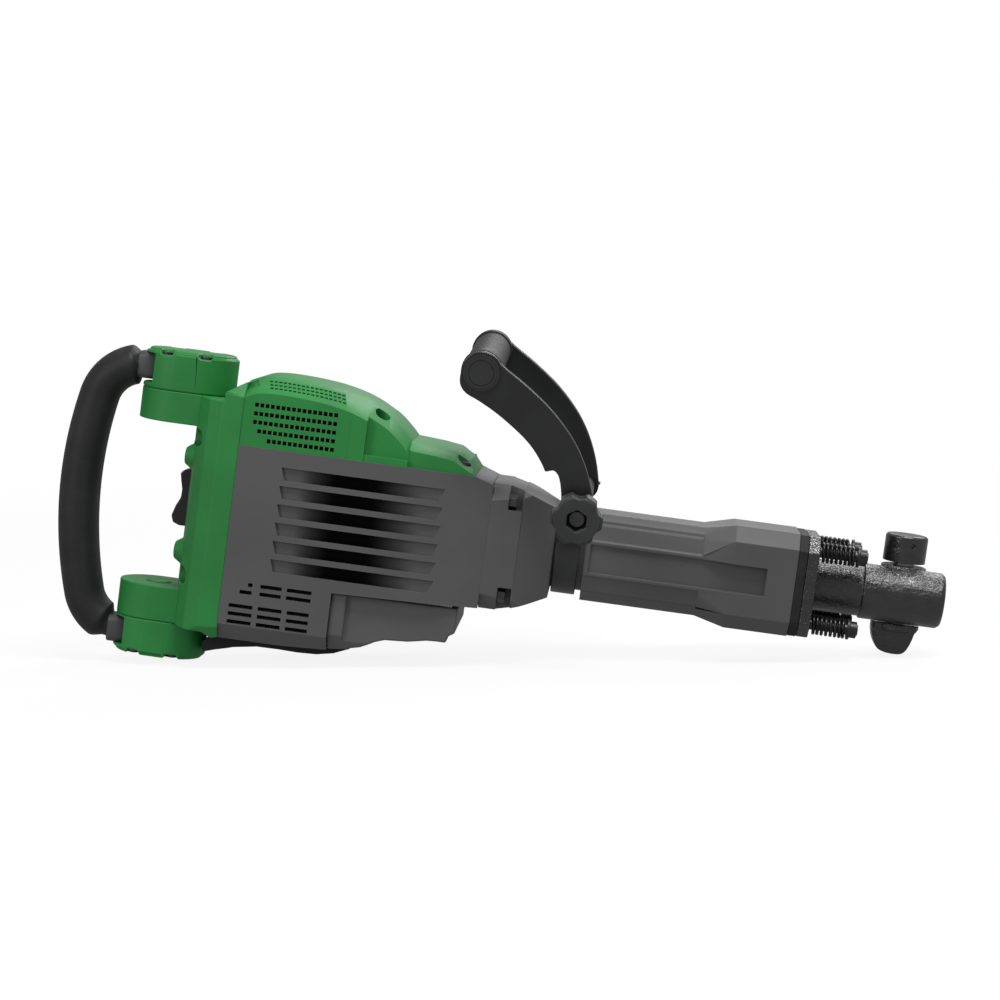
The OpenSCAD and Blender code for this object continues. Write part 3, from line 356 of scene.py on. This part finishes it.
def enamelled_copper():
    """Copper wire wound in turns up the piece."""
    finish = Finish("enamelled_copper", Metallic=0.9)
    turns = (finish.axes()[2] * 2400).math("SINE")
    wire = finish.grain(500, 2)
    base = finish.blend(turns.rise(-0.6, 0.6), (0.32, 0.12, 0.05), (0.7, 0.33, 0.16))
    return finish.set(
        Base_Color=base,
        Roughness=(0.3 + wire * 0.2).clipped(),
        Normal=finish.bump(turns + wire * 0.4, 0.12 * MM, 0.8),
    )


GREEN = moulded_green()
HOUSING_GREY = painted_grey("housing_grey", (0.094, 0.094, 0.0965), louvres=True)
CASTING_GREY = painted_grey("casting_grey", (0.1, 0.0995, 0.1025))
BARREL_GREY = painted_grey("barrel_grey", (0.09, 0.09, 0.0925))
GRIP = grip_rubber()
RUBBER = soft_rubber()
CASTING = oiled_casting()
KNOB_STEEL = oiled_casting("retainer_steel", 0.3, (0.014, 0.014, 0.0145))
SPRING = steel("spring_steel", (0.035, 0.035, 0.036), 0.24, oily=0.6, marks=0.3)
DARK_NUT = steel("dark_nut_steel", (0.07, 0.07, 0.072), 0.34, oily=0.2, marks=0.3)
ZINC = steel("zinc_steel", (0.5, 0.49, 0.46), 0.26, (1, 8, 8))
GROUND = steel("ground_steel", (0.58, 0.58, 0.6), 0.2, (8, 1, 1), oily=0.3)
DARK_BOLT = steel("dark_bolt_steel", (0.1, 0.1, 0.103), 0.3, oily=0.3)
CORE = steel("core_laminations", (0.24, 0.24, 0.25), 0.42, (1, 1, 60))
COPPER = enamelled_copper()
FOAM = foam()
CARBON = moulded_black("carbon", (0.02, 0.02, 0.02), 0.5, 1200)
MOULDING = moulded_black("black_moulding", (0.02, 0.02, 0.021), 0.42)
GLOSS = moulded_black("gloss_black", (0.012, 0.012, 0.013), 0.12, 60, 0.02)
CHARCOAL = moulded_black("charcoal_coat", (0.024, 0.0245, 0.0255), 0.3, 1400, 0.03)
# Arm coat: its edges are painted far lighter, partly rubbed wear, mostly a painted highlight
# standing in for the light caught along the arms' edges.
ARM = moulded_black("arm_coat", (0.016, 0.0163, 0.017), 0.24, 900, 0.006, worn=22.0)
COLLAR = moulded_black("handle_collar", (0.055, 0.0555, 0.058), 0.4, 1500, 0.03)
KNOB = moulded_black("knob_nylon", (0.032, 0.0335, 0.034), 0.42, 1500, 0.06)


# ---------------------------------------------------------------- finishes of the fixed pieces

# What counts as one point, as one flat face, as an edge to round and as an edge to keep crisp
SAME_POINT = 0.004 * MM
FLAT_ANGLE = math.radians(0.6)
ROUND_ANGLE = math.radians(24)
CRISP_ANGLE = math.radians(38)


def soften(node, width, segments, dissolve):
    """Rounds the edges of a fixed piece by a width in mm."""
    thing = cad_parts[node]
    weld = thing.modifiers.new("weld", "WELD")
    weld.merge_threshold = SAME_POINT
    if dissolve:
        flat = thing.modifiers.new("flat_faces", "DECIMATE")
        flat.decimate_type = "DISSOLVE"
        flat.angle_limit = FLAT_ANGLE
    if width:
        bevel = thing.modifiers.new("rounded_edges", "BEVEL")
        bevel.width = width * MM
        bevel.segments = segments
        bevel.limit_method = "ANGLE"
        bevel.angle_limit = ROUND_ANGLE
        bevel.use_clamp_overlap = False
        bevel.miter_outer = "MITER_ARC"
    split = thing.modifiers.new("crisp_edges", "EDGE_SPLIT")
    split.split_angle = CRISP_ANGLE
    even = thing.modifiers.new("even_shading", "WEIGHTED_NORMAL")
    even.keep_sharp = True


def dress(material, width, *nodes, segments=3, dissolve=True):
    """Gives fixed pieces their finish and soft edges."""
    for node in nodes:
        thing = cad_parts[node]
        thing.data.materials.clear()
        thing.data.materials.append(material)
        for face in thing.data.polygons:
            face.use_smooth = True
        soften(node, width, segments, dissolve)


dress(GREEN, 1.0, "tail_cover")
dress(GREEN, 0.0, "top_cover", dissolve=False)
dress(GREEN, 1.6, "upper_handle_cap", "lower_handle_cap")
dress(GREEN, 0.4, "lug_plug")
dress(CASTING_GREY, 0.8, "crankcase", segments=2, dissolve=False)
dress(HOUSING_GREY, 0.0, "motor_housing", dissolve=False)
dress(CASTING_GREY, 1.6, "bottom_cover")
dress(BARREL_GREY, 0.6, "barrel", segments=2, dissolve=False)
dress(GROUND, 0.3, "gear_plate", "idler_shaft", "idler_gear", "crankshaft", "crank_gear",
      "connecting_rod", "piston", "wrist_pin", "cylinder_liner", "striker", "impact_bolt",
      "bolt_guide", "armature_shaft", "armature_bearings", "idler_bearings", "crank_bearings",
      "handle_tube", segments=2)
dress(GRIP, 0.6, "rear_grip")
dress(GRIP, 0.5, "side_grip")
dress(RUBBER, 0.4, "handle_dampers", "damper_ring", "piston_ring", "striker_ring")
dress(RUBBER, 0.8, "front_gasket", "underside_bumper")
dress(CASTING, 1.0, "front_cover")
dress(KNOB_STEEL, 0.7, "retainer_knob")
dress(CASTING, 1.2, "retainer_lever")
dress(SPRING, 0.0, "nose_springs")
dress(DARK_NUT, 0.4, "nose_nuts")
dress(DARK_BOLT, 0.4, "clamp_bolt", "nose_bolts", "crankcase_bolts", "cover_screws",
      "handle_cap_screws")
dress(ZINC, 0.5, "retainer_shaft")
dress(CORE, 0.3, "stator_core", "armature_core")
dress(COPPER, 0.5, "field_coils", "armature_windings", "commutator")
dress(CARBON, 0.3, "carbon_brushes")
dress(MOULDING, 0.5, "brush_holders", "cooling_fan", "switch_body")
dress(GLOSS, 1.2, "switch_rocker")
dress(CHARCOAL, 0.8, "clamp_band")
dress(CHARCOAL, 0.0, "grip_bolt", dissolve=False)
dress(ARM, 1.2, "side_arm_near", "side_arm_far")
dress(KNOB, 1.0, "clamp_knob")


# ---------------------------------------------------------------- smooth pieces

def skin(name, material, slot, body, *runs):
    """Piece with a smooth skin over each run of rings of points, closed at both ends."""
    shape = bmesh.new()
    for rings in runs:
        rows = [[shape.verts.new(point) for point in ring] for ring in rings]
        for before, after in zip(rows, rows[1:]):
            for k in range(len(before)):
                n = (k + 1) % len(before)
                shape.faces.new((before[k], before[n], after[n], after[k]))
        shape.faces.new(rows[0][::-1])
        shape.faces.new(rows[-1])
    bmesh.ops.recalc_face_normals(shape, faces=shape.faces)
    mesh = bpy.data.meshes.new(name)
    shape.to_mesh(mesh)
    shape.free()
    for face in mesh.polygons:
        face.use_smooth = len(face.vertices) == 4
    mesh.materials.append(material)
    piece = bpy.data.objects.new(name, mesh)
    bpy.context.scene.collection.objects.link(piece)
    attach(piece, body)
    return piece


def eased(value, low, high):
    """0 at low and 1 at high, smooth between."""
    share = min(1.0, max(0.0, (value - low) / (high - low)))
    return share * share * (3 - 2 * share)


def spaced(low, high, count):
    """Values from low to high in so many equal steps."""
    return [low + (high - low) * i / count for i in range(count + 1)]


# Rear handle: a long bow with a corner at each end, all in the plane of the tool
BOW = (-0.3585, 0.0055, 0.320)
UPPER_CORNER = (-0.63630, 0.06455, 0.036)
LOWER_CORNER = (-0.63250, -0.07305, 0.035)
GRIP_R = 15.5 * MM
NECK_R = 9.8 * MM
GRIP_OVAL = 3.4 * MM
GRIP_END = -0.6283

# Collars where the handle goes into its caps: where they lie, half sizes and corner
COLLAR_X = (-0.6425, -0.6284)
COLLAR_TALL = 10.4 * MM
COLLAR_WIDE = 13.6 * MM
COLLAR_CORNER = 4.5 * MM

# Nose springs: radius to the middle of the wire, and radius of the wire
COIL_R = 6.5 * MM
WIRE_R = 1.35 * MM


def around(corner, turn):
    """Point on a corner or bow at an angle in degrees."""
    x, z, radius = corner
    return x + radius * math.cos(math.radians(turn)), z + radius * math.sin(math.radians(turn))


def rear_grip_rings(sides=56):
    """Sections of the rubber, from the upper handle cap round to the lower one."""
    line = [(GRIP_END, UPPER_CORNER[1] + UPPER_CORNER[2], 90, NECK_R)]
    for turn in spaced(90, 167, 34):
        radius = NECK_R + (GRIP_R - NECK_R) * eased(turn, 97, 106)
        line.append((*around(UPPER_CORNER, turn), turn, radius))
    for turn in spaced(168, 196, 48):
        swell = 0.35 * MM * math.sin(math.radians((turn - 168) / 28 * 180))
        line.append((*around(BOW, turn), turn, GRIP_R + swell))
    for turn in spaced(197, 270, 34):
        radius = GRIP_R - (GRIP_R - NECK_R) * eased(turn, 239, 253)
        line.append((*around(LOWER_CORNER, turn), turn, radius))
    line.append((GRIP_END, LOWER_CORNER[1] - LOWER_CORNER[2], 270, NECK_R))
    rings = []
    for x, z, turn, radius in line:
        out = (math.cos(math.radians(turn)), math.sin(math.radians(turn)))
        ring = []
        for k in range(sides):
            w = 2 * math.pi * k / sides
            ring.append((x + radius * math.cos(w) * out[0], (radius + GRIP_OVAL) * math.sin(w),
                         z + radius * math.cos(w) * out[1]))
        rings.append(ring)
    return rings


def collar_rings(z, x_back, x_front):
    """Rounded-off sleeve where the handle goes into a cap."""
    rings = []
    for x, inset in (
            (x_back, 1.5), (x_back, 0.9), (x_back + 0.25 * MM, 0.35), (x_back + 0.8 * MM, 0),
            (x_front - 0.5 * MM, 0), (x_front, 0.2), (x_front, 1.5)):
        tall, wide = COLLAR_TALL - inset * MM, COLLAR_WIDE - inset * MM
        ring = []
        for quarter in range(4):
            for i in range(9):
                w = math.radians(quarter * 90 + i * 90 / 8)
                side = 1 if quarter in (0, 3) else -1
                level = 1 if quarter in (0, 1) else -1
                y = math.cos(w) * COLLAR_CORNER + (wide - COLLAR_CORNER) * side
                up = math.sin(w) * COLLAR_CORNER + (tall - COLLAR_CORNER) * level
                ring.append((x, y, z + up))
        rings.append(ring)
    return rings


def spring_rings(y, z, back, front, turns=8, sides=14, steps=30):
    """Sections of the wire of a compression spring whose end turns lie nearly flat."""
    rings = []
    travel = front - back - 2 * WIRE_R
    for i in range(turns * steps + 1):
        at = i / (turns * steps)
        along = 0.8 * at + 0.2 * eased(at, 0, 1)
        w = 2 * math.pi * i / steps
        ring = []
        for k in range(sides):
            v = 2 * math.pi * k / sides
            reach = COIL_R + WIRE_R * math.cos(v)
            ring.append((back + WIRE_R * (1 + math.sin(v)) + travel * along,
                         y + reach * math.cos(w), z + reach * math.sin(w)))
        rings.append(ring)
    return rings


def rear_handle():
    """Rubber of the rear handle and the collar at each of its ends."""
    grip = skin("rear_grip_skin", GRIP, "grip_rubber", "root", rear_grip_rings())
    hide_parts("rear_grip")
    for name, corner, side in (
            ("upper_collar", UPPER_CORNER, 1), ("lower_collar", LOWER_CORNER, -1)):
        skin(name, COLLAR, "black_moulding", "root",
             collar_rings(corner[1] + side * corner[2], *COLLAR_X))


def plate(x, y, z, thick, slope=0.0):
    """Sections of a thin upright plate with softened edges; slope lowers its front end."""
    rings = []
    for side, inset in ((-1, 0.5), (-1, 0.15), (1, 0.15), (1, 0.5)):
        inset = inset * MM
        depth = y + side * (thick / 2 - (0.4 * MM if inset < 0.4 * MM else 0))
        rings.append([
            (x[0] + inset, depth, z[0] + inset), (x[1] - inset, depth, z[0] + inset),
            (x[1] - inset, depth, z[1] - slope - inset), (x[0] + inset, depth, z[1] - inset)])
    return rings


def dust_screens():
    """Dark foam screens that stand behind the air holes on both sides."""
    top = [plate((-0.544, -0.478), s * 0.0478, (0.0545, 0.0872), 2 * MM, 1.5 * MM) for s in (-1, 1)]
    skin("upper_dust_screens", FOAM, "black_moulding", "root", *top)
    low = [plate((-0.549, -0.4715), s * 0.0515, (-0.0840, -0.0485), 2 * MM) for s in (-1, 1)]
    skin("lower_dust_screens", FOAM, "black_moulding", "root", *low)


def housing_lip():
    """Sloping lip that closes the housing between the top cover and the crankcase seam."""
    outline = ((-0.3693, 0.0463), (-0.3693, 0.0522), (-0.3688, 0.0524), (-0.3555, 0.04805),
               (-0.3549, 0.0476), (-0.3549, 0.0463))
    half = 48.2 * MM
    edge = 0.4 * MM
    skin("housing_lip", CASTING_GREY, "grey_casing", "root",
         [[(x, y, z) for x, z in outline] for y in (-half, -half + edge, half - edge, half)])


def nose_coils():
    """Four springs round the nose bolts, which on the tool shorten as the nose floats forward; here
    the coils are built at one fixed length.
    """
    low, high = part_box("nose_springs")
    reach = COIL_R + WIRE_R
    coils = skin("nose_spring_coils", SPRING, "spring_steel", "root", *(
        spring_rings(y, z, low.x, high.x)
        for y in (low.y + reach, high.y - reach) for z in (low.z + reach, high.z - reach)))
    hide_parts("nose_springs")
    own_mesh(coils)


rear_handle()
dust_screens()
housing_lip()
nose_coils()


# ---------------------------------------------------------------- floor, light and camera

def lit_for_camera(tree, seen, unseen):
    """One strength to the camera, another to all that the light falls on."""
    rays = tree.nodes.new("ShaderNodeLightPath")
    return Wire(tree, rays.outputs["Is Camera Ray"]) * (seen - unseen) + unseen


def floor():
    """Pale floor that the lower handle cap and the retainer lever rest on."""
    cap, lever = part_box("lower_handle_cap"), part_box("retainer_lever")
    heel = Vector((cap[1].x - 3 * MM, 0, cap[0].z))
    toe = Vector(((lever[0].x + lever[1].x) / 2, 0, lever[0].z))
    lean = math.atan2(toe.z - heel.z, toe.x - heel.x)
    mesh = bpy.data.meshes.new("floor")
    shape = bmesh.new()
    bmesh.ops.create_circle(shape, cap_ends=True, segments=96, radius=9)
    shape.to_mesh(mesh)
    shape.free()
    thing = bpy.data.objects.new("floor", mesh)
    bpy.context.scene.collection.objects.link(thing)
    clear = 1.2 * MM
    thing.matrix_world = (
        Matrix.Translation(heel - Vector((0, 0, clear))) @ Matrix.Rotation(-lean, 4, "Y")
    )
    finish = Finish("pale_floor")
    tree = finish.tree
    away = finish.node("VectorMath", {"operation": "LENGTH"}, {0: finish.place}, "Value")
    glow = finish.node("Emission", sockets={
        "Color": (1, 1, 1), "Strength": lit_for_camera(tree, 1.0, 0.3)})
    join(tree, finish.surface, finish.node("MixShader", sockets={
        0: away.rise(0.5, 2.0) * 0.12 + 0.88, 1: Wire(tree, finish.shader.outputs[0]), 2: glow}))
    pale = finish.blend(finish.grain(30, 3), (0.93, 0.93, 0.93), (0.95, 0.95, 0.95))
    finish.set(Base_Color=pale, Roughness=0.7)
    mesh.materials.append(finish.material)


def softbox(name, where, towards, size, watts):
    """Rectangular soft light that faces a point."""
    light = bpy.data.lights.new(name, "AREA")
    light.shape = "RECTANGLE"
    light.size, light.size_y = size
    light.energy = watts
    thing = bpy.data.objects.new(name, light)
    bpy.context.scene.collection.objects.link(thing)
    thing.location = where
    thing.rotation_euler = (Vector(towards) - Vector(where)).to_track_quat("-Z", "Y").to_euler()


def surroundings():
    """White to the camera, a softer grey to everything that it lights."""
    world = bpy.data.worlds.new("studio")
    bpy.context.scene.world = world
    world.use_nodes = True
    tree = world.node_tree
    back = tree.nodes["Background"]
    back.inputs["Color"].default_value = (1, 1, 1, 1)
    join(tree, back.inputs["Strength"], lit_for_camera(tree, 1.0, 0.36))


floor()
surroundings()
softbox("key", (-0.2, -0.8, 1.9), (-0.35, 0, 0), (1.1, 0.45), 21)
softbox("strip", (-0.2, -0.45, 1.9), (-0.3, 0, 0), (1.5, 0.05), 9)
softbox("side", (-1.9, -1.5, 0.7), (-0.35, 0, 0), (0.7, 0.9), 11)
softbox("back", (0.2, 1.5, 1.3), (-0.3, 0, 0.03), (1.6, 0.6), 16)

eye, target = Vector((-0.271, -2.0, 0.228)), Vector((-0.350, 0.0, 0.032))
roll = math.radians(7.5)
ahead = (target - eye).normalized()
level_right = ahead.cross(Vector((0, 0, 1))).normalized()
level_up = level_right.cross(ahead)
right = level_right * math.cos(roll) + level_up * math.sin(roll)
up = level_up * math.cos(roll) - level_right * math.sin(roll)
lens = bpy.data.cameras.new("camera")
lens.lens = 92.9
lens.sensor_width = 36
lens.clip_end = 50
camera = bpy.data.objects.new("camera", lens)
bpy.context.scene.collection.objects.link(camera)
camera.matrix_world = Matrix((
    (right.x, up.x, -ahead.x, eye.x),
    (right.y, up.y, -ahead.y, eye.y),
    (right.z, up.z, -ahead.z, eye.z),
    (0, 0, 0, 1),
))
bpy.context.scene.camera = camera
bpy.context.scene.view_settings.view_transform = "Standard"
